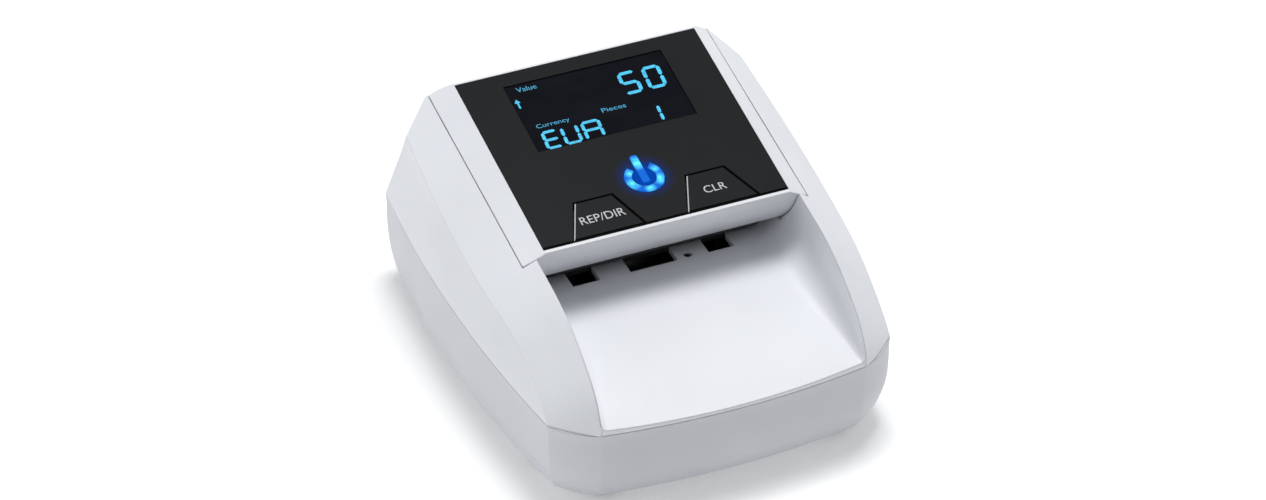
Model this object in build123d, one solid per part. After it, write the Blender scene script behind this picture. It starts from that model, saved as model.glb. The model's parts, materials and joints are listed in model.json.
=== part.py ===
from build123d import *
import math
import os

os.makedirs("parts", exist_ok=True)

# Counterfeit bill detector, desk-top, automatic feed.  Millimetres.
# X to the right, -Y towards the user, Z up, origin under the middle of the case on the floor.

# ---------------------------------------------------------------- driving dimensions
CASE_BOTTOM = 2.5          # underside of the case above the floor
PARTING_Z = 31.8           # joint between the lower case and the upper case
SHADOW_GAP = 0.12          # groove that shows as the parting line
WALL = 2.0                 # upper case wall
BASE_WALL = 2.2            # lower case wall
CHEEK_X = 44.0             # half width between the cheek walls (a note tray 88 wide)
BAY_X = 48.05              # half width of the bay the lid drops into
LEDGE_Z = 46.0             # ledge in the bay that the lid rests on
TRAY_REAR_Y = -3.0         # rear end of the tray floor
FRONT_Y = -74.0            # front of the case on the centre line
FRONT_RADIUS = 263.0       # plan radius of the front
SIDE_CENTRE = (-464.0, 18.2)   # plan centre of the right side arc
SIDE_X = 63.0              # half width at the widest place
RIBBON_DIR = (1.0, 0.55, -0.80)   # way the sloping top of a cheek runs outwards
# sections of the lower case: how far towards the underside outline, and how far up
LOWER_LEVELS = [(1.0, 0.0), (0.72, 0.04), (0.40, 0.16), (0.15, 0.36), (0.04, 0.64), (0.0, 1.0)]

PANEL_TILT = 10.2          # slope of the control panel, degrees
PANEL_REAR = (56.8, 78.0)  # y, z of the rear edge of the panel face
PANEL_HALF_W = 41.0
PANEL_LEN = 75.1
PANEL_T = 2.0
DECK_T = 3.0               # lid wall under the panel
LID_HALF_W = 47.8
HINGE = (48.0, 65.0)       # y, z of the lid hinge axis
LID_REAR_R = 16.4          # rear end of the lid, round the hinge axis
HINGE_PIN_R = 1.5
RUN_CLEARANCE = 0.05       # radial clearance of every running fit
LIP_FRONT_Y = -18.9        # crease between the panel slope and the lip under it
# y, z down the face of the lip that overhangs the tray
LIP_PROFILE = [(-8.4, 47.4), (-10.6, 50.2), (-13.2, 53.6), (-15.7, 57.6), (-17.3, 60.6), (-18.6, 63.2)]

# on the panel: across, and forwards from its rear edge
REP_KEY = [(-25.2, 60.0), (-12.1, 60.0), (-6.9, 75.1), (-31.2, 75.1)]
CLR_KEY = [(12.4, 60.0), (25.6, 60.0), (31.4, 75.1), (6.9, 75.1)]
KEY_STEM_V = 67.5          # stems of the two front keys
DISPLAY = (27.0, 5.5, 35.8)    # half width, rear and front edges
POWER = (0.3, 56.3)        # centre of the power key
POWER_STEM_U = POWER[0] + 5.0
BOARD_W = -11.0            # top of the main board below the panel face

PATH_Z = 42.0              # top of the note path
SLOT_TOP_Z = 44.5          # underside of the lid frame over the note path
FRONT_SHAFT_Y = 8.0
REAR_SHAFT_Y = 40.0
DRIVE_R = 8.0              # drive roller
DRIVE_Z = PATH_Z + 0.6 - DRIVE_R
SHAFT_R = 2.5
PINCH_R = 5.0
PINCH_Z = PATH_Z + 0.6 + 0.35 + PINCH_R
PINCH_SHAFT_R = 1.5
ROLLER_XS = (-28.0, -13.0, 13.0, 28.0)
ROLLER_W = 8.0
PULLEY_R = 3.8
MOTOR_PULLEY_R = 2.6
MOTOR = (24.0, 18.0)       # y, z of the motor axis
MOTOR_R = 12.0
BELT_GAP = 0.3
BELT_T = 1.0

KEY_TRAVEL = 0.6
FOOT_R = 5.0
FEET = [(-38.0, -56.0), (38.0, -56.0), (-42.0, 50.0), (42.0, 50.0)]
CASE_SCREWS = [(-51.5, -38.0), (51.5, -38.0), (-54.0, 40.0), (54.0, 40.0)]
FRAME_SCREWS = [(-38.5, 2.0), (38.5, 2.0), (-38.5, 56.0), (38.5, 56.0)]
LID_SCREWS = [(-40.4, 2.0), (40.4, 2.0), (-40.4, 36.0), (40.4, 36.0)]
JACK = (-26.0, 20.0)       # x, z of the power inlet
USB = (-10.0, 20.0)        # x, z of the service port
ENTRY_SENSOR = (10.7, -8.8)    # x, y of the hole that watches for a note
REAR_PANEL_Y = 69.5        # face of the recess the two ports sit in

TILT = math.radians(PANEL_TILT)
PANEL = Plane(origin=(0, PANEL_REAR[0], PANEL_REAR[1]), x_dir=(1, 0, 0),
              z_dir=(0, -math.sin(TILT), math.cos(TILT)))


# ---------------------------------------------------------------- small helpers
def box(x0, x1, y0, y1, z0, z1):
    return Pos((x0 + x1) / 2, (y0 + y1) / 2, (z0 + z1) / 2) * Box(x1 - x0, y1 - y0, z1 - z0)


def cyl_x(x0, x1, y, z, r):
    return Pos((x0 + x1) / 2, y, z) * Rot(0, 90, 0) * Cylinder(r, x1 - x0)


def cyl_y(y0, y1, x, z, r):
    return Pos(x, (y0 + y1) / 2, z) * Rot(90, 0, 0) * Cylinder(r, y1 - y0)


def cyl_z(z0, z1, x, y, r):
    return Pos(x, y, (z0 + z1) / 2) * Cylinder(r, z1 - z0)


def mirrored(shape):
    return mirror(shape, about=Plane.YZ)


def both(shape):
    return shape + mirrored(shape)


def yz_prism(points, x0, x1):
    outline = Polyline(*[(x0, y, z) for y, z in points], close=True)
    return extrude(make_face(outline), amount=x1 - x0, dir=(1, 0, 0))


def on_panel(shape):
    """Move a shape built in panel coordinates (across, towards the rear, out) to its place."""
    return PANEL.location * shape


def panel_box(u0, u1, v0, v1, w0, w1):
    """Box on the panel, v measured forwards from the rear edge and w outwards from the face."""
    return on_panel(box(u0, u1, -v1, -v0, w0, w1))


def panel_cyl(u, v, w0, w1, r):
    return on_panel(cyl_z(w0, w1, u, -v, r))


def panel_poly(points, w0, w1):
    outline = Polyline(*[(u, -v, w0) for u, v in points], close=True)
    return on_panel(extrude(make_face(outline), amount=w1 - w0, dir=(0, 0, 1)))


def top_z(y):
    """Height of the panel face plane at y."""
    return PANEL_REAR[1] + (y - PANEL_REAR[0]) * math.tan(TILT)


def around(radius, degrees):
    """Point (y, z) on a circle round the hinge axis, measured from the rear horizontal."""
    a = math.radians(degrees)
    return (HINGE[0] + radius * math.cos(a), HINGE[1] + radius * math.sin(a))


def save(name, shape):
    export_step(shape, os.path.join("parts", name + ".step"))


# ---------------------------------------------------------------- lower case
def base_outline(z, blend, inset=0.0):
    """Closed plan outline; blend 0 is the parting line, blend 1 the underside."""
    def mix(a, b):
        return a + (b - a) * blend

    front = (0.0, mix(FRONT_Y, -65.2) + inset)
    f1 = (mix(44.0, 42.0) - 0.3 * inset, mix(-70.3, -62.0) + inset)
    corner = (mix(50.9, 47.0) - 0.64 * inset, mix(-66.3, -58.3) + 0.77 * inset)
    s1 = (mix(57.2, 51.5) - inset, mix(-59.8, -53.0) + 0.5 * inset)
    s2 = (mix(SIDE_X, 60.4) - inset, mix(20.0, 15.0))
    s3 = (mix(60.3, 58.6) - inset, mix(71.3, 60.5) - 0.6 * inset)
    r0 = (mix(57.0, 55.0) - 0.5 * inset, mix(74.0, 63.0) - inset)

    def at(p, sign=1):
        return (sign * p[0], p[1], z)

    edges = [
        ThreePointArc(at(f1, -1), at(front), at(f1)),
        ThreePointArc(at(f1), at(corner), at(s1)),
        ThreePointArc(at(s1), at(s2), at(s3)),
        Line(at(s3), at(r0)),
        Line(at(r0), at(r0, -1)),
        Line(at(r0, -1), at(s3, -1)),
        ThreePointArc(at(s3, -1), at(s2, -1), at(s1, -1)),
        ThreePointArc(at(s1, -1), at(corner, -1), at(f1, -1)),
    ]
    return make_face(edges)


def lower_loft(z_bottom, z_top, inset):
    sections = [base_outline(z_bottom + (z_top - z_bottom) * part, blend, inset)
                for blend, part in LOWER_LEVELS]
    return loft(sections)


base_outer = lower_loft(CASE_BOTTOM, PARTING_Z - SHADOW_GAP, 0.0)
base_inner = lower_loft(CASE_BOTTOM + BASE_WALL, PARTING_Z + 1.0, BASE_WALL)
rim_section = base_outline(PARTING_Z - 1.5, 0.0, 1.0) - base_outline(PARTING_Z - 1.5, 0.0, BASE_WALL)
rim = extrude(rim_section, amount=1.5, dir=(0, 0, 1))
port_block = box(JACK[0] - 10, USB[0] + 9, REAR_PANEL_Y - 2.2, 74, JACK[1] - 9, JACK[1] + 9)
port_block = port_block & base_outer
base_shell = (base_outer - base_inner) + rim + port_block
base_shell -= box(JACK[0] - 8, USB[0] + 7, REAR_PANEL_Y, 80, JACK[1] - 7, JACK[1] + 7)
base_shell -= cyl_y(REAR_PANEL_Y - 4, REAR_PANEL_Y + 1, JACK[0], JACK[1], 4.6)
base_shell -= box(USB[0] - 4.6, USB[0] + 4.6, REAR_PANEL_Y - 4, REAR_PANEL_Y + 1,
                  USB[1] - 2.1, USB[1] + 2.1)
floor_top = CASE_BOTTOM + BASE_WALL
for x, y in CASE_SCREWS:
    base_shell += cyl_z(floor_top - 0.5, PARTING_Z, x, y, 3.8)
    base_shell += cyl_z(floor_top - 0.5, 7.5, x, y, 4.6)
for x, y in CASE_SCREWS:
    base_shell -= cyl_z(CASE_BOTTOM - 1, 6.0, x, y, 3.2)
    base_shell -= cyl_z(5.0, PARTING_Z + 1, x, y, 1.6)
for x, y in FRAME_SCREWS:
    base_shell += cyl_z(floor_top - 0.5, 12.0, x, y, 4.0)
    base_shell -= cyl_z(6.0, 13.0, x, y, 1.4)
for x, y in FEET:
    base_shell -= cyl_z(CASE_BOTTOM - 1, CASE_BOTTOM + 0.5, x, y, FOOT_R + 0.1)
saddle = box(-5, -1, MOTOR[0] - 9, MOTOR[0] + 9, floor_top - 0.5, 11)
base_shell += saddle - cyl_x(-6, 0, MOTOR[0], MOTOR[1], MOTOR_R + 0.05)
for y in (-42.0, -24.0):
    base_shell += box(-46, 46, y - 0.8, y + 0.8, floor_top - 0.5, 12)
save("base_shell", base_shell)

feet = [cyl_z(0, CASE_BOTTOM + 0.5, x, y, FOOT_R) for x, y in FEET]
feet = [chamfer(foot.edges().group_by(Axis.Z)[0], 0.6) for foot in feet]
save("rubber_feet", Compound(feet))


# ---------------------------------------------------------------- upper case
def cheek_profile(drop):
    """Edge profile of a cheek in the plane of its inner wall, lowered by drop."""
    return [(92.0, 80.6 - drop), (56.0, 74.6 - drop), (22.0, 69.4 - drop), (-7.0, 64.8 - drop),
            (-26.0, 61.7 - drop), (-42.3, 58.2 - 1.02 * drop), (-56.2 + 0.5 * drop, 51.3 - drop),
            (-65.2 + 0.8 * drop, 44.2 - 0.6 * drop), (-70.0 + drop, 35.6 - 0.2 * drop),
            (-70.6 + drop, 30.0)]


def cheek_prism(drop):
    """Sloping top of a cheek: the edge profile carried outwards and down."""
    points = [(CHEEK_X, y, z) for y, z in cheek_profile(drop)]
    curve = Spline(*points, tangents=[(0, -1, -0.17), (0, 0, -1)])
    rest = Polyline(points[-1], (CHEEK_X, points[-1][1], 20.0), (CHEEK_X, 92.0, 20.0), points[0])
    reach = 22.0
    length = reach * math.sqrt(sum(c * c for c in RIBBON_DIR))
    return extrude(make_face([curve, rest]), amount=length, dir=RIBBON_DIR)


def side_solid(inset):
    """Everything inside the right flank, a shallow flare turned round a far vertical axis."""
    cx, cy = SIDE_CENTRE
    flank = [(63.0, 24.0), (63.0, 31.8), (61.75, 39.4), (60.4, 47.0), (59.6, 53.0),
             (59.15, 60.0), (58.9, 84.0)]
    points = [(x - inset, cy, z) for x, z in flank]
    curve = Spline(*points[1:])
    rest = Polyline(points[-1], (20, cy, 84), (20, cy, 24), points[0], points[1])
    face = make_face([curve, rest])
    axis = Axis((cx, cy, 0), (0, 0, 1))
    return revolve(face, axis, revolution_arc=13) + revolve(face, axis, revolution_arc=-13)


def rear_limit(inset):
    """Rear wall slope, as a long prism across the case."""
    return yz_prism([(74.0 - inset, 20.0), (74.0 - inset, PARTING_Z), (63.2 - inset, 72.0),
                     (60.5 - inset, 82.0), (-90, 82.0), (-90, 20.0)], -70, 70)


def rear_corner(inset):
    """Half space cut off the rear corner of a cheek."""
    n = Vector(0.727, 0.602, 0.331)
    plane = Plane(origin=Vector(47.8, 64.2, 72.0) - n * inset, z_dir=n)
    return plane.location * (Pos(0, 0, 25) * Box(160, 160, 50))


def cheek_solid(inset, x_min):
    body = cheek_prism(inset * 1.35) & side_solid(inset)
    body = body & rear_limit(inset)
    body = body - rear_corner(inset)
    return body & box(x_min, 80, -90, 90, PARTING_Z - (1.0 if inset else 0.0), 90)


def channel_section(y, z, r):
    """Cross section of the open tray, rounded where the floor meets the cheeks."""
    half = CHEEK_X
    k = r * (1 - math.sqrt(0.5))
    edges = [
        Line((-half, y, 95), (-half, y, z + r)),
        ThreePointArc((-half, y, z + r), (-half + k, y, z + k), (-half + r, y, z)),
        Line((-half + r, y, z), (half - r, y, z)),
        ThreePointArc((half - r, y, z), (half - k, y, z + k), (half, y, z + r)),
        Line((half, y, z + r), (half, y, 95)),
        Line((half, y, 95), (-half, y, 95)),
    ]
    return make_face(edges)


def lip_curve(dy, x):
    return Spline(*[(x, y + dy, z) for y, z in LIP_PROFILE])


def lid_bay():
    """Room for the lid between the cheeks, following the front of the lid."""
    x0 = -BAY_X
    curve = lip_curve(-0.5, x0)
    first = curve @ 0
    last = curve @ 1
    rest = Polyline(last, (x0, -19.4, 66.0), (x0, -19.4, 95), (x0, 90, 95), (x0, 90, LEDGE_Z),
                    (x0, first.Y, LEDGE_Z), first)
    return extrude(make_face([curve, rest]), amount=2 * BAY_X, dir=(1, 0, 0))


cheek_skin = cheek_solid(0.0, CHEEK_X)
cheek_room = cheek_solid(WALL, CHEEK_X + WALL)
keep_for_bay = box(CHEEK_X, BAY_X + WALL, -21.0, 90, LEDGE_Z - WALL, 95)
cheek = cheek_skin - (cheek_room - keep_for_bay)

front_disc = cyl_z(PARTING_Z, 60, 0, FRONT_Y + FRONT_RADIUS, FRONT_RADIUS)
tray_block = box(-CHEEK_X, CHEEK_X, -80, TRAY_REAR_Y, PARTING_Z, 55) & front_disc
tray_room = yz_prism([(-66.5, PARTING_Z - 1), (-66.5, PARTING_Z + 0.4), (-48, 36.0), (-27, 39.0),
                      (TRAY_REAR_Y + 1, 39.8), (TRAY_REAR_Y + 1, PARTING_Z - 1)], -43.0, 43.0)
tray_channel = loft([channel_section(TRAY_REAR_Y + 2, 42.0, 10.0), channel_section(-27, 41.2, 9.0),
                     channel_section(-48, 38.4, 6.5), channel_section(-63, 35.3, 3.5),
                     channel_section(-82, 31.6, 1.0)])
rear_wall = rear_limit(0.0) - rear_limit(WALL)
rear_wall = rear_wall & box(-CHEEK_X - 6, CHEEK_X + 6, 50, 90, PARTING_Z, 59.5)

top_shell = both(cheek) + tray_block - tray_room
top_shell -= tray_channel
top_shell -= lid_bay()
top_shell += rear_wall
top_shell -= box(-43.8, 43.8, 50, 90, PATH_Z, PATH_Z + 5)
for x0, x1 in ((-28.6, -19.5), (-9.2, 6.8), (17.3, 26.0)):
    top_shell -= box(x0, x1, -10.3, TRAY_REAR_Y + 1, 35, 50)
top_shell -= cyl_z(35, 50, *ENTRY_SENSOR, 1.35)
for x, y in CASE_SCREWS:
    top_shell += cyl_z(PARTING_Z, 75.0, x, y, 3.4) & (cheek_skin if x > 0 else mirrored(cheek_skin))
    top_shell -= cyl_z(PARTING_Z - 1, 42.0, x, y, 1.4)
pin_boss = cyl_x(BAY_X, 51.6, HINGE[0], HINGE[1], 3.4) & cheek_skin
top_shell += both(pin_boss)
top_shell -= both(cyl_x(BAY_X - 1, 50.6, HINGE[0], HINGE[1], HINGE_PIN_R))
save("top_shell", top_shell)

screws = []
for x, y in CASE_SCREWS:
    screw = cyl_z(4.2, 6.0, x, y, 2.8) + cyl_z(6.0, 41.0, x, y, 1.35)
    screws.append(screw - box(x - 2, x + 2, y - 0.4, y + 0.4, 4, 5))
save("case_screws", Compound(screws))
save("hinge_pins", Compound([cyl_x(44.6, 50.6, *HINGE, HINGE_PIN_R),
                             cyl_x(-50.6, -44.6, *HINGE, HINGE_PIN_R)]))

# ---------------------------------------------------------------- note transport
frame = box(-43.6, 43.6, TRAY_REAR_Y + 0.4, 68.5, PATH_Z - 2, PATH_Z)
frame += both(box(41.8, 43.6, TRAY_REAR_Y + 0.4, 60, 12, PATH_Z - 1))
for y in (-2.6, 50.0):
    frame += both(box(34, 43.6, y, y + 9.2, 12, 14))
for y in (FRONT_SHAFT_Y, REAR_SHAFT_Y):
    frame -= both(cyl_x(41, 45, y, DRIVE_Z, 4.0))
    for x in ROLLER_XS:
        frame -= box(x - 5, x + 5, y - 7.2, y + 7.2, PATH_Z - 3, PATH_Z + 1)
for x0, x1 in ((-34, -10), (10, 34)):
    frame -= box(x0, x1, 18.5, 29.5, PATH_Z - 3, PATH_Z + 1)
frame -= box(-7, 7, 20, 28, PATH_Z - 3, PATH_Z + 1)
for x, y in FRAME_SCREWS:
    frame -= cyl_z(11, 15, x, y, 1.6)
save("transport_frame", frame)
entry = cyl_z(37.5, 41.2, *ENTRY_SENSOR, 1.3) + cyl_z(36.0, 37.5, *ENTRY_SENSOR, 2.6)
save("entry_sensor", entry)
save("frame_screws", Compound([cyl_z(14, 15.6, x, y, 2.6) + cyl_z(7, 14, x, y, 1.35)
                               for x, y in FRAME_SCREWS]))
save("lower_sensor_windows", Compound([box(-33.9, -10.1, 18.6, 29.4, PATH_Z - 2, PATH_Z - 0.1),
                                       box(10.1, 33.9, 18.6, 29.4, PATH_Z - 2, PATH_Z - 0.1)]))
sensor_board = box(-35, 35, 17.5, 30.5, 33.6, 35.2)
for x in (-30, -22, -14, 14, 22, 30):
    sensor_board += box(x - 1.8, x + 1.8, 22.5, 25.5, 35.2, 37.4)
save("lower_sensor_board", sensor_board)
head = box(-6.6, 6.6, 20.4, 27.6, 35.2, PATH_Z + 0.1)
head = fillet(head.edges().group_by(Axis.Z)[-1].filter_by(Axis.X), 1.8)
save("magnetic_head", head)

bushes = []
for y in (FRONT_SHAFT_Y, REAR_SHAFT_Y):
    for x0, x1 in ((41.0, 43.8), (-43.8, -41.0)):
        bore = cyl_x(x0 - 1, x1 + 1, y, DRIVE_Z, SHAFT_R + RUN_CLEARANCE)
        bushes.append(cyl_x(x0, x1, y, DRIVE_Z, 4.0) - bore)
save("shaft_bushes", Compound(bushes))


def roller_set(y, z, radius, bore, groove):
    rollers = []
    for x in ROLLER_XS:
        roller = cyl_x(x - ROLLER_W / 2, x + ROLLER_W / 2, y, z, radius)
        roller -= cyl_x(x - ROLLER_W, x + ROLLER_W, y, z, bore)
        ring = cyl_x(x - 0.5, x + 0.5, y, z, radius + 1) - cyl_x(x - 1, x + 1, y, z, radius - groove)
        rollers.append(roller - ring)
    return Compound(rollers)


def pulley(x0, x1, y, z, radius, bore):
    return cyl_x(x0, x1, y, z, radius) - cyl_x(x0 - 1, x1 + 1, y, z, bore)


save("front_drive_shaft", cyl_x(-43.6, 43.6, FRONT_SHAFT_Y, DRIVE_Z, SHAFT_R))
save("front_drive_rollers", roller_set(FRONT_SHAFT_Y, DRIVE_Z, DRIVE_R, SHAFT_R, 0.6))
save("front_drive_pulleys", Compound([pulley(34, 38, FRONT_SHAFT_Y, DRIVE_Z, PULLEY_R, SHAFT_R),
                                      pulley(-38, -34, FRONT_SHAFT_Y, DRIVE_Z, PULLEY_R, SHAFT_R)]))
save("rear_drive_shaft", cyl_x(-43.6, 43.6, REAR_SHAFT_Y, DRIVE_Z, SHAFT_R))
save("rear_drive_rollers", roller_set(REAR_SHAFT_Y, DRIVE_Z, DRIVE_R, SHAFT_R, 0.6))
save("rear_drive_pulley", pulley(-38, -34, REAR_SHAFT_Y, DRIVE_Z, PULLEY_R, SHAFT_R))
disc = cyl_x(36.0, 36.8, REAR_SHAFT_Y, DRIVE_Z, 5.0) - cyl_x(35, 38, REAR_SHAFT_Y, DRIVE_Z, SHAFT_R)
for step in range(12):
    disc -= Pos(36.4, REAR_SHAFT_Y, DRIVE_Z) * Rot(30 * step, 0, 0) * Pos(0, 0, 4.2) * Box(2, 0.8, 1.0)
save("encoder_disc", disc)
sensor = box(34.4, 38.4, REAR_SHAFT_Y - 3.5, REAR_SHAFT_Y + 3.5, 25.0, 31.4)
sensor += box(38.4, 41.8, REAR_SHAFT_Y - 3.5, REAR_SHAFT_Y + 3.5, 25.0, 29.5)
sensor -= box(35.4, 37.4, REAR_SHAFT_Y - 4, REAR_SHAFT_Y + 4, 27.2, 32)
save("encoder_sensor", sensor)

# ---------------------------------------------------------------- motor and belts
motor = cyl_x(-6, 26, *MOTOR, MOTOR_R) + cyl_x(26, 28.5, *MOTOR, 4.0) + cyl_x(-8.5, -6, *MOTOR, 3.5)
motor -= cyl_x(18, 30, *MOTOR, 1.15 + RUN_CLEARANCE)
save("drive_motor", motor)
bracket = box(26, 27.6, MOTOR[0] - 9.5, MOTOR[0] + 9.5, floor_top, MOTOR[1] + 10.5)
bracket += box(27.6, 33, MOTOR[0] - 9.5, MOTOR[0] + 9.5, floor_top, floor_top + 1.6)
bracket -= cyl_x(25, 29, *MOTOR, 4.0)
save("motor_bracket", bracket)
save("motor_shaft", cyl_x(18.5, 38.4, *MOTOR, 1.15))
save("motor_pulley", pulley(33.6, 38, *MOTOR, MOTOR_PULLEY_R, 1.15))


def loop_solid(c1, r1, c2, r2, x0, x1):
    """Stadium shape round two circles, carried along X."""
    dy = c2[0] - c1[0]
    dz = c2[1] - c1[1]
    dist = math.hypot(dy, dz)
    base = math.atan2(dz, dy)
    spread = math.acos((r1 - r2) / dist)
    corners = []
    for centre, radius, side in ((c1, r1, 1), (c2, r2, 1), (c2, r2, -1), (c1, r1, -1)):
        a = base + side * spread
        corners.append((centre[0] + radius * math.cos(a), centre[1] + radius * math.sin(a)))
    return cyl_x(x0, x1, *c1, r1) + cyl_x(x0, x1, *c2, r2) + yz_prism(corners, x0, x1)


def belt(c1, r1, c2, r2, x0, x1):
    outer = loop_solid(c1, r1 + BELT_GAP + BELT_T, c2, r2 + BELT_GAP + BELT_T, x0, x1)
    return outer - loop_solid(c1, r1 + BELT_GAP, c2, r2 + BELT_GAP, x0 - 1, x1 + 1)


front_axis = (FRONT_SHAFT_Y, DRIVE_Z)
rear_axis = (REAR_SHAFT_Y, DRIVE_Z)
save("motor_belt", belt(MOTOR, MOTOR_PULLEY_R, front_axis, PULLEY_R, 34.4, 37.6))
save("shaft_belt", belt(front_axis, PULLEY_R, rear_axis, PULLEY_R, -37.6, -34.4))

# ---------------------------------------------------------------- ports at the rear
jack = box(JACK[0] - 4.5, JACK[0] + 4.5, 57.6, REAR_PANEL_Y - 2.3, JACK[1] - 4.5, JACK[1] + 4.5)
jack += cyl_y(REAR_PANEL_Y - 3, REAR_PANEL_Y + 0.4, JACK[0], JACK[1], 4.4)
jack -= cyl_y(REAR_PANEL_Y - 9.5, REAR_PANEL_Y + 1, JACK[0], JACK[1], 2.8)
jack += cyl_y(REAR_PANEL_Y - 10, REAR_PANEL_Y - 1, JACK[0], JACK[1], 1.0)
save("dc_jack", jack)
port = box(USB[0] - 4.4, USB[0] + 4.4, 57.6, REAR_PANEL_Y + 0.2, USB[1] - 1.9, USB[1] + 1.9)
port -= box(USB[0] - 3.9, USB[0] + 3.9, 61, REAR_PANEL_Y + 1, USB[1] - 1.4, USB[1] + 1.4)
port += box(USB[0] - 3.0, USB[0] + 3.0, 60.5, REAR_PANEL_Y - 1, USB[1] - 0.4, USB[1] + 0.4)
save("service_port", port)
save("io_board", box(-33, -3, 56.0, 57.6, 10, 30) + box(-30, -27, 53, 56, 12, 26))

# ---------------------------------------------------------------- lid shell

def lid_outer():
    x0 = -LID_HALF_W
    curve = lip_curve(0.0, x0)
    rear_top = around(LID_REAR_R, 53.4)
    rear_low = around(LID_REAR_R, -29.2)
    rear_mid = around(LID_REAR_R, 12.0)
    crease = (x0, LIP_FRONT_Y, top_z(LIP_FRONT_Y))
    rear_edge = (x0, rear_top[0], top_z(rear_top[0]))
    arc = ThreePointArc(rear_edge, (x0, *rear_mid), (x0, *rear_low))
    upper = Polyline(curve @ 1, crease, rear_edge)
    lower = Polyline((x0, *rear_low), (x0, 46.0, LEDGE_Z), (x0, -8.4, LEDGE_Z), curve @ 0)
    return extrude(make_face([curve, upper, arc, lower]), amount=2 * LID_HALF_W, dir=(1, 0, 0))


def lid_hollow(half, wall):
    x0 = -half
    curve = Spline(*[(x0, y + wall + 0.2, z) for y, z in LIP_PROFILE[:4]])
    radius = LID_REAR_R - wall
    depth = (PANEL_T + DECK_T) / math.cos(TILT)
    top_front = (x0, -13.2, top_z(-13.2) - depth)
    rear_top = around(radius, 37.0)
    arc = ThreePointArc((x0, *rear_top), (x0, *around(radius, 0.0)), (x0, *around(radius, -35.0)))
    upper = Polyline(curve @ 1, top_front, (x0, 57.0, top_z(57.0) - depth), (x0, *rear_top))
    lower = Polyline((x0, *around(radius, -35.0)), (x0, 61.0, 50.0), (x0, 46.5, 44.0),
                     (x0, -6.2, 44.0), curve @ 0)
    return extrude(make_face([curve, upper, arc, lower]), amount=2 * half, dir=(1, 0, 0))


def strip_wedge(shift):
    """Material taken off above the sloping strip along the right edge of the lid."""
    sections = []
    for y, slope in ((-30.0, 0.70), (70.0, 1.02)):
        x0 = PANEL_HALF_W - shift
        z0 = top_z(y) - 0.8 * shift
        points = [(x0 - 4, y, z0 + 4 * slope), (x0 + 12, y, z0 - 12 * slope), (x0 + 12, y, z0 + 20),
                  (x0 - 4, y, z0 + 20)]
        sections.append(make_face(Polyline(*points, close=True)))
    return loft(sections, ruled=True) & box(x0, 80, -60, 90, 20, 120)


lid_shell = lid_outer()
room = lid_hollow(LID_HALF_W - WALL, WALL)
room -= both(strip_wedge(2.2))
lid_shell -= room
lid_shell -= both(strip_wedge(0.0))


def grown(key, by):
    """Key outline moved outwards by a margin, its front edge kept."""
    (a, v0), (b, _), (c, v1), (d, _) = key
    return [(a - by * 1.2, v0 - by), (b + by * 1.2, v0 - by), (c + by * 1.05, v1), (d - by * 1.05, v1)]


lid_shell -= panel_box(-PANEL_HALF_W - 0.15, PANEL_HALF_W + 0.15, -0.15, PANEL_LEN + 0.5, -PANEL_T, 6)
lid_shell -= panel_box(-25, 25, 7.5, 33.8, -8, 0)
lid_shell -= panel_cyl(*POWER, -8, 0, 8.6)
lid_shell -= panel_box(POWER[0] - 1.7, POWER[0] + 1.7, 46.0, POWER[1], -3.2, 0)
lid_shell -= box(-CHEEK_X, CHEEK_X, -12, -4, LEDGE_Z - 1, LIP_PROFILE[0][1])
for key in (REP_KEY, CLR_KEY):
    lid_shell -= panel_poly(grown(key, 1.3), -3.8, -1.0)
    middle = (key[0][0] + key[1][0]) / 2
    lid_shell -= panel_cyl(middle, KEY_STEM_V, -8, 0, 2.5)
for x, y in LID_SCREWS:
    lid_shell += cyl_z(LEDGE_Z + 0.5, top_z(y) - 4.0, x, y, 2.6) - cyl_z(40, 56, x, y, 1.2)
for u in (-34.0, 34.0):
    for v in (10.0, 64.0):
        lid_shell += panel_cyl(u, v, BOARD_W, -PANEL_T - 1.0, 2.5)
ear = cyl_x(44.4, LID_HALF_W, *HINGE, 4.2)
lid_shell += both(ear)
lid_shell -= both(cyl_x(43, 52, *HINGE, HINGE_PIN_R + RUN_CLEARANCE))
save("lid_shell", lid_shell)


# ---------------------------------------------------------------- control panel and keys
def power_symbol(margin):
    """Ring open at the rear with a bar in the opening, as a flat face on the panel."""
    u, v = POWER
    ring = Circle(6.3 + margin) - Circle(4.0 - margin)
    gap = math.radians(37) - margin / 5.2
    far = 12.0
    side = far * math.tan(gap)
    wedge = make_face(Polyline((0, 0), (-side, far), (side, far), close=True))
    bar = Pos(0, 3.65) * RectangleRounded(2.3 + 2 * margin, 11.9 + 2 * margin, 0.6)
    return Pos(u, -v) * ((ring - wedge) + bar)


panel = panel_box(-PANEL_HALF_W, PANEL_HALF_W, 0, PANEL_LEN, -PANEL_T, 0)
panel -= panel_box(-DISPLAY[0], DISPLAY[0], DISPLAY[1], DISPLAY[2], -3, 1)
for key in (REP_KEY, CLR_KEY):
    (a, v0), (b, _), (c, v1), (d, _) = key
    on = 1.0 / (v1 - v0)
    panel -= panel_poly([(a, v0), (b, v0), (c + (c - b) * on, v1 + 1), (d + (d - a) * on, v1 + 1)], -3, 1)
panel -= on_panel(extrude(Pos(0, 0, -3) * power_symbol(0.2), amount=4, dir=(0, 0, 1)))
save("control_panel", panel)

window = panel_box(-DISPLAY[0] + 0.1, DISPLAY[0] - 0.1, DISPLAY[1] + 0.1, DISPLAY[2] - 0.1, -PANEL_T, -0.4)
save("display_window", window)
module = panel_box(-24.6, 24.6, 7.9, 33.4, -4.6, -2.4) + panel_box(-24.6, 24.6, 7.9, 33.4, BOARD_W, -4.6)
save("display_module", module)


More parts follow.
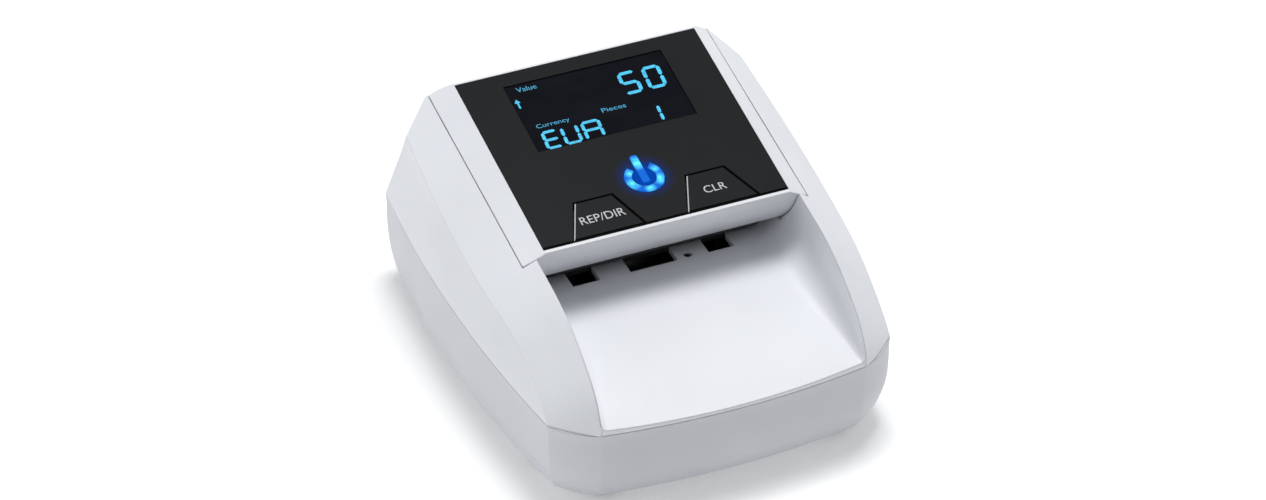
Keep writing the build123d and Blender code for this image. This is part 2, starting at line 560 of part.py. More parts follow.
def trapezoid_key(key):
    (a, v0), (b, _), (c, v1), (d, _) = key
    g = 0.5
    cap = panel_poly([(a + 0.35, v0 + g), (b - g, v0 + g), (c - g, v1 - 0.1), (d + 0.35, v1 - 0.1)],
                     -PANEL_T - 0.05, 0.25)
    under = [(a - 0.7, v0 - 0.8), (b + 0.7, v0 - 0.8), (c + 0.6, v1 - 0.1), (d - 0.6, v1 - 0.1)]
    skirt = panel_poly(under, -3.1, -PANEL_T - 0.05)
    stem = panel_cyl((a + b) / 2, KEY_STEM_V, -6.4, -3.1, 2.0)
    return cap + skirt + stem


save("report_button", trapezoid_key(REP_KEY))
save("clear_button", trapezoid_key(CLR_KEY))
power = on_panel(extrude(Pos(0, 0, -PANEL_T) * power_symbol(0.0), amount=PANEL_T + 0.2, dir=(0, 0, 1)))
power += panel_cyl(*POWER, -3.4, -PANEL_T, 8.1)
power += panel_cyl(POWER_STEM_U, POWER[1], -6.4, -3.4, 2.0)
save("power_button", power)

# ---------------------------------------------------------------- lid electronics
board = panel_box(-37, 37, 6, 69, BOARD_W - 1.6, BOARD_W)
board += panel_box(-20, -8, 42, 54, BOARD_W - 4.0, BOARD_W - 1.6)
board += panel_box(12, 24, 44, 52, BOARD_W - 3.2, BOARD_W - 1.6)
save("main_board", board)
switch_places = [((key[0][0] + key[1][0]) / 2, KEY_STEM_V - 1.6) for key in (REP_KEY, CLR_KEY)]
switch_places.append((POWER_STEM_U, POWER[1]))
switches = []
for u, v in switch_places:
    body = panel_box(u - 3, u + 3, v - 3, v + 3, BOARD_W, -8.2)
    switches.append(body + panel_cyl(u, v, -8.2, -7.2, 1.6))
save("key_switches", Compound(switches))
save("power_led", panel_box(-3.5, 0.5, 54.5, 58.0, BOARD_W, -9.4))
save("buzzer", panel_cyl(-28, 50, BOARD_W, -6.5, 5.5) - panel_cyl(-28, 50, -7.5, -6, 1.2))

lower = box(-43.4, 43.4, -6.0, 46.0, SLOT_TOP_Z, LEDGE_Z + 0.5)
for y in (FRONT_SHAFT_Y, REAR_SHAFT_Y):
    for x in ROLLER_XS:
        lower -= box(x - 5, x + 5, y - 5.5, y + 5.5, 40, 50)
    lower -= cyl_x(-34, 34, y, PINCH_Z, PINCH_SHAFT_R + 0.3)
    for x in (-20.5, 20.5):
        lower += box(x - 1.6, x + 1.6, y - 3.2, y + 3.2, LEDGE_Z, 51.0)
        lower -= cyl_x(x - 3, x + 3, y, PINCH_Z, PINCH_SHAFT_R + RUN_CLEARANCE)
lower -= both(box(35.5, 50, -10, -2.6, 40, 50))
for x0, x1 in ((-34, -10), (10, 34)):
    lower -= box(x0, x1, 18.5, 29.5, 40, 50)
for x, y in LID_SCREWS:
    lower -= cyl_z(40, 50, x, y, 1.5)
    lower -= cyl_z(40, SLOT_TOP_Z + 1.2, x, y, 2.4)
save("lid_lower_frame", lower)
head_top = SLOT_TOP_Z + 1.2
save("lid_screws", Compound([cyl_z(SLOT_TOP_Z, head_top, x, y, 2.3) + cyl_z(head_top, 54, x, y, 1.15)
                             for x, y in LID_SCREWS]))
save("upper_sensor_windows", Compound([box(-33.9, -10.1, 18.6, 29.4, SLOT_TOP_Z + 0.1, LEDGE_Z + 0.5),
                                       box(10.1, 33.9, 18.6, 29.4, SLOT_TOP_Z + 0.1, LEDGE_Z + 0.5)]))
upper_board = box(-35, 35, 17.5, 30.5, 49.6, 51.2)
for x in (-30, -22, -14, 14, 22, 30):
    upper_board += box(x - 1.8, x + 1.8, 22.5, 25.5, 47.2, 49.6)
for x in (-8.0, 8.0):
    upper_board += cyl_z(LEDGE_Z + 0.5, 49.6, x, 24, 1.6)
save("upper_sensor_board", upper_board)
springs = []
for y in (FRONT_SHAFT_Y, REAR_SHAFT_Y):
    for x in (-20.5, 20.5):
        leaf = box(x - 1.4, x + 1.4, y - 5, y + 5, 51.0, 51.3)
        springs.append(leaf + box(x - 1.4, x + 1.4, y - 5, y - 4.7, 47.5, 51.0))
save("pinch_springs", Compound(springs))
for name, y in (("front", FRONT_SHAFT_Y), ("rear", REAR_SHAFT_Y)):
    save(name + "_pinch_shaft", cyl_x(-33.5, 33.5, y, PINCH_Z, PINCH_SHAFT_R))
    save(name + "_pinch_rollers", roller_set(y, PINCH_Z, PINCH_R, PINCH_SHAFT_R, 0.4))
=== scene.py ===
import json
import math

import bpy
from mathutils import Matrix, Vector


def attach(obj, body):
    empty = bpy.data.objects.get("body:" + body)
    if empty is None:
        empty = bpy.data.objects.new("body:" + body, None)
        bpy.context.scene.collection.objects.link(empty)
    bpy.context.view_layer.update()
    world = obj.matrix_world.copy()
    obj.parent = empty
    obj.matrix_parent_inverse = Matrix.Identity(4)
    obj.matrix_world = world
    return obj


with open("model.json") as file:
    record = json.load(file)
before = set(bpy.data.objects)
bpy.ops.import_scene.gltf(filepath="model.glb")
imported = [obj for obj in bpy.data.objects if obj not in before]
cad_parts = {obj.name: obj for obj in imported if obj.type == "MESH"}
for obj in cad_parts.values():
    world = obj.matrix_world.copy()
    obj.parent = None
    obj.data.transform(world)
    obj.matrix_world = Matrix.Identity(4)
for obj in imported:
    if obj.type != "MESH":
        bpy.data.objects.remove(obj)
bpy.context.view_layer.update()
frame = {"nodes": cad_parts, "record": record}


MM = 0.001

# ---------------------------------------------------------------- control panel frame
# u runs right, v runs down the panel from the lid's rear edge, w stands out of it; all in mm.
TILT = math.radians(10.2)
PANEL_REAR_Y = 56.8
PANEL_REAR_Z = 78.0
PANEL = Matrix((
    (1, 0, 0, 0),
    (0, math.cos(TILT), -math.sin(TILT), PANEL_REAR_Y * MM),
    (0, math.sin(TILT), math.cos(TILT), PANEL_REAR_Z * MM),
    (0, 0, 0, 1),
))

# Heights of the prints, each just clear of the face under it.
DISPLAY_W = -0.36
PANEL_W = 0.04
GLOW_W = 0.05
KEY_W = 0.27

# Power key: its centre, the lamps under it as (du, dv, reach), and the glow on the panel round it.
POWER_U = 0.3
POWER_V = 56.3
LAMP_W = 0.2
LAMPS = ((-4.6, 1.9, 3.0), (4.4, 2.3, 3.0), (0.0, 5.2, 2.2),
         (0.0, -6.2, 3.4), (-3.9, -2.6, 2.2), (4.4, -2.2, 2.0))
HALO_REACH = 11.0
HALO_DISC = 10.5
HALO_SHIFT_V = -0.5
DISC_POINTS = 48

# Characters of the display: left and right of each, top and bottom of each row, width of a bar.
SLANT = 0.06
VALUE_COLUMNS = ((9.4, 14.5), (17.7, 22.7))
VALUE_ROW = (11.5, 20.3)
VALUE_STROKE = 1.25
CURRENCY_COLUMNS = ((-23.1, -18.7), (-16.7, -11.9), (-9.8, -4.3))
CURRENCY_ROW = (28.0, 35.0)
CURRENCY_STROKE = 1.1
COUNT_COLUMNS = ((12.0, 16.0),)
COUNT_ROW = (28.2, 34.8)
COUNT_STROKE = 1.05
ARROW = ((-25.0, 11.6), (-24.0, 13.3), (-24.7, 13.3), (-24.7, 15.7),
         (-25.3, 15.7), (-25.3, 13.3), (-26.0, 13.3))

# The two lower keys: u of the rear left, rear right, front right and front left corner.
REP_KEY = (-25.2, -12.1, -6.9, -31.2)
CLR_KEY = (12.4, 25.6, 31.4, 6.9)
KEY_REAR = 60.0
KEY_FRONT = 75.0
PANEL_SIDE = 40.9

# Painted highlight along the left edge of a key: its two sides, and its start, measured from the key's left
# side and rear.
HIGHLIGHT_NEAR = 0.36
HIGHLIGHT_FAR = 0.76
HIGHLIGHT_REAR = 0.5

# Painted gap shade round a key, black strips laid in its gaps: how far they reach past its rear edge and past
# its left and right corners.
GAP_SHADE_REAR = 0.45
GAP_SHADE_LEFT = 0.3
GAP_SHADE_RIGHT = 0.35
GAP_SHADE_CORNER = 0.60

# Painted gap shade, black strips along the front edge of a key, and along the front of the panel beside the
# keys.
LIP_GAP_SHADE = 0.5
LIP_GAP_SHADE_LEFT = 0.7
LIP_GAP_SHADE_RIGHT_REAR = 0.55
LIP_GAP_SHADE_RIGHT = 0.5
PANEL_GAP_SHADE = 0.45
PANEL_GAP_SHADE_OUT = 0.05
PANEL_GAP_SHADE_GAP = 0.1

# The middle band of a noise, which nearly all of its values fall in.
NOISE_LOW = 0.3
NOISE_HIGH = 0.7


# ---------------------------------------------------------------- material graphs
class Graph:
    """Node tree of one material."""

    def __init__(self, name):
        self.material = bpy.data.materials.new(name)
        self.material.use_nodes = True
        self.tree = self.material.node_tree
        self.tree.nodes.clear()
        self.out = self.add("OutputMaterial")
        self.coords = self.add("TexCoord").outputs["Object"]

    def add(self, kind, **inputs):
        node = self.tree.nodes.new("ShaderNode" + kind)
        for name, value in inputs.items():
            self.set(node, name.replace("_", " "), value)
        return node

    def set(self, node, key, value):
        """Link a socket to the input, or store a plain value in it."""
        if isinstance(value, bpy.types.NodeSocket):
            self.tree.links.new(value, node.inputs[key])
        else:
            node.inputs[key].default_value = value

    def noise(self, scale, detail=2.0, stretch=None):
        coords = self.coords
        if stretch:
            coords = self.add("Mapping", Vector=coords, Scale=stretch).outputs["Vector"]
        return self.add("TexNoise", Vector=coords, Scale=scale, Detail=detail).outputs["Fac"]

    def remap(self, value, low, high, to_low, to_high):
        node = self.add("MapRange", Value=value, From_Min=low, From_Max=high, To_Min=to_low, To_Max=to_high)
        return node.outputs["Result"]

    def spread(self, noise, to_low, to_high):
        """Noise spread over the range asked for."""
        return self.remap(noise, NOISE_LOW, NOISE_HIGH, to_low, to_high)

    def mix(self, factor, a, b, blend="MIX"):
        node = self.add("Mix")
        node.data_type = "RGBA"
        node.blend_type = blend
        for index, value in ((0, factor), (6, a), (7, b)):
            self.set(node, index, value)
        return node.outputs[2]

    def math(self, operation, a, b):
        node = self.add("Math")
        node.operation = operation
        self.set(node, 0, a)
        self.set(node, 1, b)
        return node.outputs["Value"]

    def vector_math(self, operation, a, b):
        node = self.add("VectorMath")
        node.operation = operation
        self.set(node, 0, a)
        self.set(node, 1, b)
        return node.outputs["Value"]

    def grey(self, value):
        return self.add("CombineColor", Red=value, Green=value, Blue=value).outputs["Color"]

    def rounded(self, radius):
        """Normal that makes the sharp edges look rounded."""
        bevel = self.add("Bevel", Radius=radius)
        bevel.samples = 6
        return bevel.outputs["Normal"]

    def lean(self, normal):
        """How far a rounded normal leans off the flat one: 0 on a face, 1 on an edge."""
        flat = self.add("NewGeometry").outputs["Normal"]
        return self.remap(self.vector_math("DOT_PRODUCT", normal, flat), 0.80, 0.995, 1.0, 0.0)

    def bumped(self, height, normal, strength, distance):
        node = self.add("Bump", Height=height, Normal=normal, Strength=strength, Distance=distance)
        return node.outputs["Normal"]

    def principled(self, colour, roughness, **inputs):
        shader = self.add("BsdfPrincipled", Base_Color=colour, Roughness=roughness, **inputs)
        return self.finish(shader.outputs["BSDF"])

    def finish(self, shader):
        self.tree.links.new(shader, self.out.inputs["Surface"])
        return self.material


def rgba(r, g, b):
    return (r, g, b, 1.0)


def scaled(colour, factor):
    return rgba(*[c * factor for c in colour])


def moulded(name, colour, rough, grain=2400.0, bump=0.10, edge=0.35, edge_wear_and_highlight_tint=None, edge_wear_and_highlight_amount=0.0,
            crease_shade=0.0, mottle=0.03, streaks=False, specular=0.5):
    """Moulded or coated surface: fine grain, slow colour drift, edges lightened partly by wear and partly as
    a painted highlight, and painted shade in the corners.
    """
    g = Graph(name)
    drift = g.spread(g.noise(22.0, 3.0), 1.0 - mottle, 1.0 + mottle)
    base = g.mix(1.0, rgba(*colour), g.grey(drift), "MULTIPLY")
    normal = g.rounded(edge * MM)
    # Edges lightened: partly wear, partly a painted highlight.
    if edge_wear_and_highlight_tint:
        patchy_strength = g.remap(g.noise(300.0, 3.0), 0.35, 0.65, 0.4 * edge_wear_and_highlight_amount, edge_wear_and_highlight_amount)
        base = g.mix(g.math("MULTIPLY", g.lean(normal), patchy_strength), base, rgba(*edge_wear_and_highlight_tint))
    # Painted shade: corners and creases darkened where ambient occlusion is low, made patchy by a noise.
    if crease_shade:
        occlusion = g.add("AmbientOcclusion", Distance=2.5 * MM)
        occlusion.samples = 4
        shade = g.remap(occlusion.outputs["AO"], 0.25, 0.85, crease_shade, 0.0)
        shade = g.math("MULTIPLY", shade, g.spread(g.noise(160.0, 4.0), 0.5, 1.0))
        base = g.mix(shade, base, scaled(colour, 0.45))
    roughness = g.spread(g.noise(75.0, 4.0), rough - 0.05, rough + 0.06)
    if streaks:
        rub = g.remap(g.noise(1.0, 4.0, (520.0, 14.0, 60.0)), 0.52, 0.72, 0.0, -0.07)
        roughness = g.math("ADD", roughness, rub)
    grained = g.bumped(g.noise(grain), normal, bump, 0.06 * MM)
    return g.principled(base, roughness, Normal=grained, Specular_IOR_Level=specular)


def metal(name, colour, rough, stretch=(1.0, 30.0, 30.0)):
    """Drawn or ground metal, with fine marks drawn out by the stretch."""
    g = Graph(name)
    marks = g.noise(90.0, 4.0, stretch)
    base = g.mix(g.spread(marks, 0.0, 0.35), rgba(*colour), scaled(colour, 0.6))
    ground = g.bumped(marks, g.rounded(0.2 * MM), 0.15, 0.05 * MM)
    return g.principled(base, g.spread(marks, rough - 0.08, rough + 0.1), Normal=ground, Metallic=1.0)


def circuit(name):
    """Green board with copper runs under the mask and small pale specks for its parts."""
    g = Graph(name)
    runs = g.add("TexBrick", Vector=g.coords, Scale=260.0, Mortar_Size=0.03, Color1=rgba(0.010, 0.115, 0.045),
                 Color2=rgba(0.014, 0.160, 0.062), Mortar=rgba(0.030, 0.260, 0.110))
    specks = g.remap(g.noise(420.0, 1.0), 0.66, 0.68, 0.0, 0.8)
    base = g.mix(specks, runs.outputs["Color"], rgba(0.55, 0.53, 0.45))
    return g.principled(base, g.spread(g.noise(90.0), 0.3, 0.5))


def smoked(name, colour, rough, haze=0.004, specular=0.10):
    """Polished dark window with faint smears."""
    g = Graph(name)
    smear = g.noise(60.0, 5.0, (1.0, 2.2, 1.0))
    hazed = rgba(*[c + haze * 0.3 for c in colour])
    base = g.mix(g.remap(smear, 0.35, 0.75, 0.0, 1.0), rgba(*colour), hazed)
    roughness = g.remap(smear, 0.3, 0.8, rough, rough + 0.10)
    return g.principled(base, roughness, Normal=g.rounded(0.25 * MM), Specular_IOR_Level=specular)


def print_and_painted_light(name, colour, rough=0.5, specular=0.5):
    """Flat colour, very slightly uneven: screen-printed ink, and the painted highlight and painted gap shade
    on the keys and panel.
    """
    g = Graph(name)
    base = g.mix(g.spread(g.noise(1500.0, 3.0), 0.0, 0.22), rgba(*colour), scaled(colour, 0.75))
    roughness = g.spread(g.noise(600.0), rough - 0.05, rough + 0.1)
    return g.principled(base, roughness, Specular_IOR_Level=specular)


def glowing(name, colour, strength):
    """Lit segment: emission with a fine unevenness over a dark base."""
    g = Graph(name)
    uneven = 0.35
    dots = g.spread(g.noise(900.0), strength * (1.0 - uneven), strength * (1.0 + uneven))
    return g.principled(scaled(colour, 0.25), 0.4, Emission_Color=rgba(*colour), Emission_Strength=dots)


def panel_point(u, v, w):
    return PANEL @ Vector((u * MM, -v * MM, w * MM))


def power_light(name):
    """Translucent key lit from below: blue body with pale hot spots over the lamps."""
    g = Graph(name)
    hot = None
    for du, dv, reach in LAMPS:
        away = g.vector_math("DISTANCE", g.coords, panel_point(POWER_U + du, POWER_V + dv, LAMP_W))
        near = g.remap(away, 0.0, reach * MM, 1.0, 0.0)
        hot = near if hot is None else g.math("MAXIMUM", hot, near)
    hot = g.math("MULTIPLY", hot, g.spread(g.noise(700.0, 3.0), 0.55, 1.15))
    colour = g.mix(hot, rgba(0.0, 0.13, 0.70), rgba(0.12, 0.82, 1.0))
    return g.principled(rgba(0.002, 0.02, 0.06), 0.3, Specular_IOR_Level=0.1, Emission_Color=colour,
                        Emission_Strength=g.remap(hot, 0.0, 1.0, 0.95, 1.5))


def halo(name, centre, radius, colour, strength):
    """Soft round glow that fades to nothing at its rim."""
    g = Graph(name)
    away = g.vector_math("DISTANCE", g.coords, centre)
    fade = g.math("POWER", g.remap(away, 0.25 * radius, radius, 1.0, 0.0), 2.2)
    fade = g.math("MULTIPLY", fade, g.spread(g.noise(350.0, 3.0), 0.85, 1.1))
    clear = g.add("BsdfTransparent")
    light = g.add("Emission", Color=rgba(*colour), Strength=strength)
    mixed = g.add("MixShader")
    g.set(mixed, 0, g.math("MULTIPLY", fade, 0.75))
    g.set(mixed, 1, clear.outputs["BSDF"])
    g.set(mixed, 2, light.outputs["Emission"])
    return g.finish(mixed.outputs["Shader"])


# ---------------------------------------------------------------- finishes of the CAD parts
CASE_WHITE = (0.780, 0.795, 0.830)
# Lighter edge colour of the white case: partly wear, partly painted highlight.
CASE_EDGE_WEAR_AND_HIGHLIGHT = (0.90, 0.91, 0.93)
BASE_GREY = (0.610, 0.622, 0.655)
# Lighter edge colour of the grey case: partly wear, partly painted highlight.
BASE_EDGE_WEAR_AND_HIGHLIGHT = (0.84, 0.86, 0.90)
FACING = {"specular": 0.09, "grain": 3200.0, "bump": 0.12, "edge": 0.25, "edge_wear_and_highlight_amount": 0.5, "mottle": 0.10}
# The edge tints lighten each part's edges: partly wear, partly painted highlight.
finishes = {
    "upper_case": moulded("upper case", CASE_WHITE, 0.42, edge=0.7, edge_wear_and_highlight_tint=CASE_EDGE_WEAR_AND_HIGHLIGHT,
                          edge_wear_and_highlight_amount=0.35, crease_shade=0.35, streaks=True),
    "lid_case": moulded("lid case", CASE_WHITE, 0.42, edge=0.6, edge_wear_and_highlight_tint=CASE_EDGE_WEAR_AND_HIGHLIGHT,
                        edge_wear_and_highlight_amount=0.35, crease_shade=0.35),
    "lower_case": moulded("lower case", BASE_GREY, 0.46, edge=0.7, edge_wear_and_highlight_tint=BASE_EDGE_WEAR_AND_HIGHLIGHT,
                          edge_wear_and_highlight_amount=0.3, crease_shade=0.4, bump=0.14),
    "panel_black": moulded("panel black", (0.0086, 0.0094, 0.0104), 0.42,
                           edge_wear_and_highlight_tint=(0.05, 0.05, 0.055), **FACING),
    "key_black": moulded("key black", (0.0090, 0.0098, 0.0108), 0.40,
                         edge_wear_and_highlight_tint=(0.06, 0.06, 0.065), **FACING),
    "key_light": power_light("power key light"),
    "display_window": smoked("display window", (0.0035, 0.0042, 0.0075), 0.12),
    "black_plastic": moulded("black plastic", (0.022, 0.022, 0.023), 0.48,
                             grain=1800.0, bump=0.2, mottle=0.1),
    "dark_frame": moulded("dark frame", (0.040, 0.041, 0.045), 0.50,
                          grain=1800.0, bump=0.2, mottle=0.1, edge_wear_and_highlight_tint=(0.12, 0.12, 0.13), edge_wear_and_highlight_amount=0.6),
    "sensor_window": smoked("sensor window", (0.020, 0.012, 0.030), 0.08, 0.02, 0.5),
    "circuit_board": circuit("circuit board"),
    "head_metal": metal("plated metal", (0.60, 0.61, 0.63), 0.32),
    "screw_steel": metal("zinc plated steel", (0.46, 0.46, 0.47), 0.36),
    "shaft_steel": metal("ground steel", (0.56, 0.56, 0.57), 0.26, (30.0, 1.0, 1.0)),
    "bush_brass": metal("sintered brass", (0.60, 0.42, 0.16), 0.45, (8.0, 8.0, 8.0)),
    "roller_rubber": moulded("roller rubber", (0.030, 0.030, 0.033), 0.72,
                             grain=1400.0, bump=0.35, mottle=0.15),
    "belt_rubber": moulded("belt rubber", (0.020, 0.020, 0.020), 0.70,
                           grain=1600.0, bump=0.3, mottle=0.1),
    "pulley_plastic": moulded("natural acetal", (0.66, 0.64, 0.58), 0.40,
                              grain=1800.0, bump=0.08),
    "foot_rubber": moulded("foot rubber", (0.026, 0.026, 0.028), 0.78,
                           grain=900.0, bump=0.4, mottle=0.15),
}
slots = {s["node"]: s["material_slot"] for s in frame["record"]["subparts"]}
for name, node in frame["nodes"].items():
    node.data.materials.clear()
    node.data.materials.append(finishes[slots[name]])
    for polygon in node.data.polygons:
        polygon.material_index = 0


# ---------------------------------------------------------------- flat prints and lit segments
def add_piece(name, mesh, material, body):
    mesh.materials.clear()
    mesh.materials.append(material)
    piece = bpy.data.objects.new(name, mesh)
    bpy.context.scene.collection.objects.link(piece)
    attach(piece, body)


def add_outline(name, outlines, w, material, body):
    """Flat shapes on the panel; each outline is a list of (u, v) going round."""
    points = []
    faces = []
    for outline in outlines:
        start = len(points)
        points += [panel_point(u, v, w) for u, v in outline]
        faces.append(list(range(start, len(points)))[::-1])
    mesh = bpy.data.meshes.new(name)
    mesh.from_pydata(points, [], faces)
    mesh.update()
    outward = PANEL.to_3x3() @ Vector((0, 0, 1))
    for polygon in mesh.polygons:
        if polygon.normal.dot(outward) < 0:
            polygon.flip()
    add_piece(name, mesh, material, body)


def add_text(name, text, box, w, material, body):
    """Text fitted to the box (u left, u right, v top, v bottom) on the panel."""
    curve = bpy.data.curves.new(name, "FONT")
    curve.body = text
    holder = bpy.data.objects.new(name + "_curve", curve)
    bpy.context.scene.collection.objects.link(holder)
    bpy.context.view_layer.update()
    mesh = bpy.data.meshes.new_from_object(holder.evaluated_get(bpy.context.evaluated_depsgraph_get()))
    bpy.data.objects.remove(holder)
    xs = [p.co.x for p in mesh.vertices]
    ys = [p.co.y for p in mesh.vertices]
    left, right, top, bottom = box
    for p in mesh.vertices:
        u = left + (p.co.x - min(xs)) / (max(xs) - min(xs)) * (right - left)
        v = bottom - (p.co.y - min(ys)) / (max(ys) - min(ys)) * (bottom - top)
        p.co = panel_point(u, v, w)
    add_piece(name, mesh, material, body)


SEGMENTS = {"5": "afgcd", "0": "abcdef", "1": "bc", "E": "adefg", "U": "bcdef", "A": "abcefg"}


def digit(char, left, right, top, bottom, stroke):
    """Bars of a seven-segment character, cut at 45 degrees where they meet."""
    middle = (top + bottom) / 2
    gap = 0.05 * stroke
    half = stroke / 2
    bars = {
        "a": ((left, top), (right, top)),
        "b": ((right, top), (right, middle)),
        "c": ((right, middle), (right, bottom)),
        "d": ((left, bottom), (right, bottom)),
        "e": ((left, middle), (left, bottom)),
        "f": ((left, top), (left, middle)),
        "g": ((left, middle), (right, middle)),
    }
    shapes = []
    for key in SEGMENTS[char]:
        (u0, v0), (u1, v1) = bars[key]
        if v0 == v1:
            shape = [(u0 + gap, v0), (u0 + gap + half, v0 - half), (u1 - gap - half, v0 - half),
                     (u1 - gap, v0), (u1 - gap - half, v0 + half), (u0 + gap + half, v0 + half)]
        else:
            shape = [(u0, v0 + gap), (u0 + half, v0 + gap + half), (u0 + half, v1 - gap - half),
                     (u0, v1 - gap), (u0 - half, v1 - gap - half), (u0 - half, v0 + gap + half)]
        shapes.append([(u + (bottom - v) * SLANT, v) for u, v in shape])
    return shapes


def word(text, columns, row, stroke):
    """Seven-segment characters, one to each column of the row."""
    shapes = []
    for char, (left, right) in zip(text, columns):
        shapes += digit(char, left, right, *row, stroke)
    return shapes


def disc(u, v, radius):
    turns = [2 * math.pi * k / DISC_POINTS for k in range(DISC_POINTS)]
    return [(u + radius * math.cos(turn), v + radius * math.sin(turn)) for turn in turns]


bright = glowing("display bright", (0.030, 0.47, 0.76), 0.95)
dim = glowing("display dim", (0.03, 0.40, 0.66), 0.75)
white_ink = print_and_painted_light("white print", (0.55, 0.56, 0.57))
# Pale strip along the left edge of each key: a painted highlight.
painted_key_highlight = print_and_painted_light("painted key edge highlight", (0.46, 0.47, 0.49), 0.25)
# Black for the strips in the gaps round the keys and along the panel front: painted gap shade.
painted_gap_shade = print_and_painted_light("painted gap shade black", (0.0008, 0.0008, 0.0010), 0.8, 0.02)

for name, outlines in (
        ("display_value", word("50", VALUE_COLUMNS, VALUE_ROW, VALUE_STROKE)),
        ("display_currency", word("EUA", CURRENCY_COLUMNS, CURRENCY_ROW, CURRENCY_STROKE)),
        ("display_pieces", word("1", COUNT_COLUMNS, COUNT_ROW, COUNT_STROKE)),
        ("display_arrow", [ARROW])):
    add_outline(name, outlines, DISPLAY_W, bright, "lid")
for name, text, box in (
        ("display_label_value", "Value", (-23.3, -16.6, 6.9, 8.9)),
        ("display_label_currency", "Currency", (-23.3, -12.2, 24.0, 26.3)),
        ("display_label_pieces", "Pieces", (-1.1, 7.0, 23.9, 25.7))):
    add_text(name, text, box, DISPLAY_W, dim, "lid")
for name, text, box, body in (
        ("label_report", "REP/DIR", (-26.0, -11.2, 66.4, 69.6), "report_key"),
        ("label_clear", "CLR", (15.6, 23.0, 66.2, 69.2), "clear_key")):
    add_text(name, text, box, KEY_W, white_ink, body)


def add_key_lines(name, body, corners):
    """Painted highlight along the left edge of a key, and painted gap shade behind it, to its right and along
    its front.
    """
    rear_left, rear_right, front_right, front_left = corners
    # The pale strip on the key's left edge is a painted highlight.
    edge = [(rear_left + HIGHLIGHT_NEAR, KEY_REAR + HIGHLIGHT_REAR), (rear_left + HIGHLIGHT_FAR, KEY_REAR + HIGHLIGHT_REAR),
            (front_left + HIGHLIGHT_FAR, KEY_FRONT), (front_left + HIGHLIGHT_NEAR, KEY_FRONT)]
    add_outline(name + "_edge_highlight", [edge], KEY_W, painted_key_highlight, body)
    # The black strips behind, beside and in front of the key are painted gap shade.
    behind = [(rear_left - GAP_SHADE_LEFT, KEY_REAR - GAP_SHADE_REAR), (rear_right + GAP_SHADE_RIGHT, KEY_REAR - GAP_SHADE_REAR),
              (rear_right, KEY_REAR), (rear_left, KEY_REAR)]
    beside = [(rear_right + GAP_SHADE_RIGHT, KEY_REAR - GAP_SHADE_REAR), (front_right + GAP_SHADE_CORNER, KEY_FRONT),
              (front_right, KEY_FRONT), (rear_right, KEY_REAR)]
    add_outline(name + "_shade_strip", [behind, beside], PANEL_W, painted_gap_shade, "lid")
    along = [(front_left + LIP_GAP_SHADE_LEFT, KEY_FRONT - LIP_GAP_SHADE),
             (front_right - LIP_GAP_SHADE_RIGHT_REAR, KEY_FRONT - LIP_GAP_SHADE),
             (front_right - LIP_GAP_SHADE_RIGHT, KEY_FRONT),
             (front_left + LIP_GAP_SHADE_LEFT, KEY_FRONT)]
    add_outline(name + "_front_shade_strip", [along], KEY_W, painted_gap_shade, body)


add_key_lines("report", "report_key", REP_KEY)
add_key_lines("clear", "clear_key", CLR_KEY)

# Painted gap shade: black strips along the front of the panel beside the keys.
beside_keys = ((-PANEL_SIDE, REP_KEY[3] - PANEL_GAP_SHADE_GAP),
               (REP_KEY[2] + PANEL_GAP_SHADE_GAP, CLR_KEY[3] - PANEL_GAP_SHADE_GAP),
               (CLR_KEY[2] + PANEL_GAP_SHADE_GAP, PANEL_SIDE))
front_shade_strips = [[(left, KEY_FRONT - PANEL_GAP_SHADE), (right, KEY_FRONT - PANEL_GAP_SHADE),
                (right, KEY_FRONT + PANEL_GAP_SHADE_OUT), (left, KEY_FRONT + PANEL_GAP_SHADE_OUT)]
               for left, right in beside_keys]
add_outline("panel_front_shade_strip", front_shade_strips, PANEL_W, painted_gap_shade, "lid")

glow = halo("power halo", panel_point(POWER_U, POWER_V, GLOW_W), HALO_REACH * MM, (0.0, 0.14, 1.0), 0.6)
glow_disc = disc(POWER_U, POWER_V + HALO_SHIFT_V, HALO_DISC)
add_outline("power_glow", [glow_disc], GLOW_W, glow, "lid")

# ---------------------------------------------------------------- floor
FLOOR_HALF = 6
FLOOR_GLOW = 0.24


def add_floor():
    """White ground, slightly lit, as on a light table."""
    g = Graph("studio floor")
    paper = g.grey(g.spread(g.noise(3.0), 0.86, 0.90))
    material = g.principled(paper, 0.9, Emission_Color=rgba(1.0, 1.0, 1.0), Emission_Strength=FLOOR_GLOW)
    mesh = bpy.data.meshes.new("studio_floor")
    corners = [(-FLOOR_HALF, -FLOOR_HALF, 0), (FLOOR_HALF, -FLOOR_HALF, 0),
               (FLOOR_HALF, FLOOR_HALF, 0), (-FLOOR_HALF, FLOOR_HALF, 0)]
    mesh.from_pydata(corners, [], [(0, 1, 2, 3)])
    mesh.materials.append(material)
    floor = bpy.data.objects.new("studio_floor", mesh)
    bpy.context.scene.collection.objects.link(floor)


add_floor()

# ---------------------------------------------------------------- sky and softboxes
# How much light comes from each direction, and the level that the whole sky has.
SKY_SHARES = (((0, 0, 1), 0.10), ((-1, 0.2, -0.4), 0.90), ((1, 0, 0), 0.42), ((0, 1, 0), 0.05))
SKY_LEVEL = 0.07
SKY_COLOUR = rgba(0.96, 0.98, 1.0)

world = bpy.data.worlds.new("studio")
world.use_nodes = True
sky = world.node_tree
background = sky.nodes["Background"]
background.inputs["Color"].default_value = SKY_COLOUR
direction = sky.nodes.new("ShaderNodeTexCoord").outputs["Generated"]


def sky_share(axis, amount):
    """Light that grows towards one direction of the sky and is nothing behind it."""
    dot = sky.nodes.new("ShaderNodeVectorMath")
    dot.operation = "DOT_PRODUCT"
    sky.links.new(direction, dot.inputs[0])
    dot.inputs[1].default_value = axis
    share = sky.nodes.new("ShaderNodeMapRange")
    sky.links.new(dot.outputs["Value"], share.inputs["Value"])
    share.inputs["To Max"].default_value = amount
    return share.outputs["Result"]


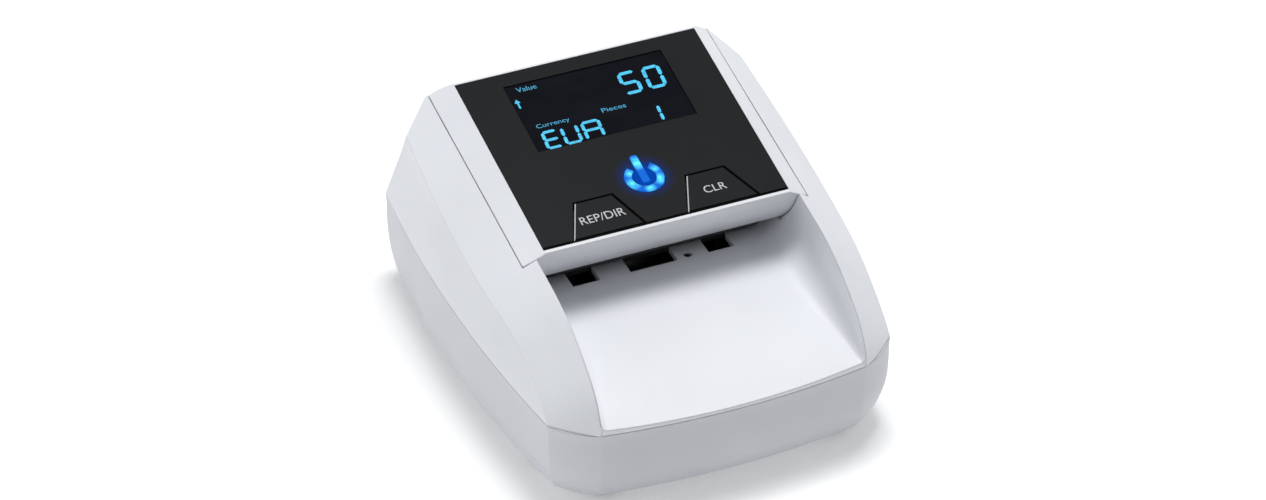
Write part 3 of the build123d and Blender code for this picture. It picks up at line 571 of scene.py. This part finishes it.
def sky_sum(a, b):
    """Sum of a socket and either another socket or a plain number."""
    added = sky.nodes.new("ShaderNodeMath")
    sky.links.new(a, added.inputs[0])
    if isinstance(b, bpy.types.NodeSocket):
        sky.links.new(b, added.inputs[1])
    else:
        added.inputs[1].default_value = b
    return added.outputs["Value"]


total = None
for axis, amount in SKY_SHARES:
    share = sky_share(axis, amount)
    total = share if total is None else sky_sum(total, share)
sky.links.new(sky_sum(total, SKY_LEVEL), background.inputs["Strength"])
bpy.context.scene.world = world
bpy.context.scene.view_settings.view_transform = "Standard"


def softbox(name, place, aim, size, power, colour=(1.0, 1.0, 1.0)):
    data = bpy.data.lights.new(name, "AREA")
    data.shape = "RECTANGLE"
    data.size, data.size_y = size
    data.energy = power
    data.color = colour
    lamp = bpy.data.objects.new(name, data)
    bpy.context.scene.collection.objects.link(lamp)
    lamp.location = place
    lamp.rotation_euler = (Vector(aim) - Vector(place)).to_track_quat("-Z", "Y").to_euler()


LIGHT_AIM = (0, 0, 0.03)
softbox("overhead", (0.14, 0.18, 1.2), LIGHT_AIM, (0.5, 0.5), 10.6)
softbox("low left", (-0.9, 0.0, 0.22), LIGHT_AIM, (0.25, 0.5), 0.50, (0.95, 0.97, 1.0))

# ---------------------------------------------------------------- camera
AZIMUTH = math.radians(-22.84)
ELEVATION = math.radians(37.0)
TARGET = Vector((2.55, 15.78, 28.93)) * MM
CAMERA_DISTANCE = 1.6491
LENS_MM = 147.7
SENSOR_MM = 36.0

back = Vector((math.sin(AZIMUTH) * math.cos(ELEVATION), -math.cos(AZIMUTH) * math.cos(ELEVATION),
               math.sin(ELEVATION)))
camera_data = bpy.data.cameras.new("camera")
camera_data.sensor_width = SENSOR_MM
camera_data.lens = LENS_MM
camera_data.clip_start = 0.05
camera = bpy.data.objects.new("camera", camera_data)
bpy.context.scene.collection.objects.link(camera)
camera.location = TARGET + back * CAMERA_DISTANCE
camera.rotation_euler = back.to_track_quat("Z", "Y").to_euler()
bpy.context.scene.camera = camera
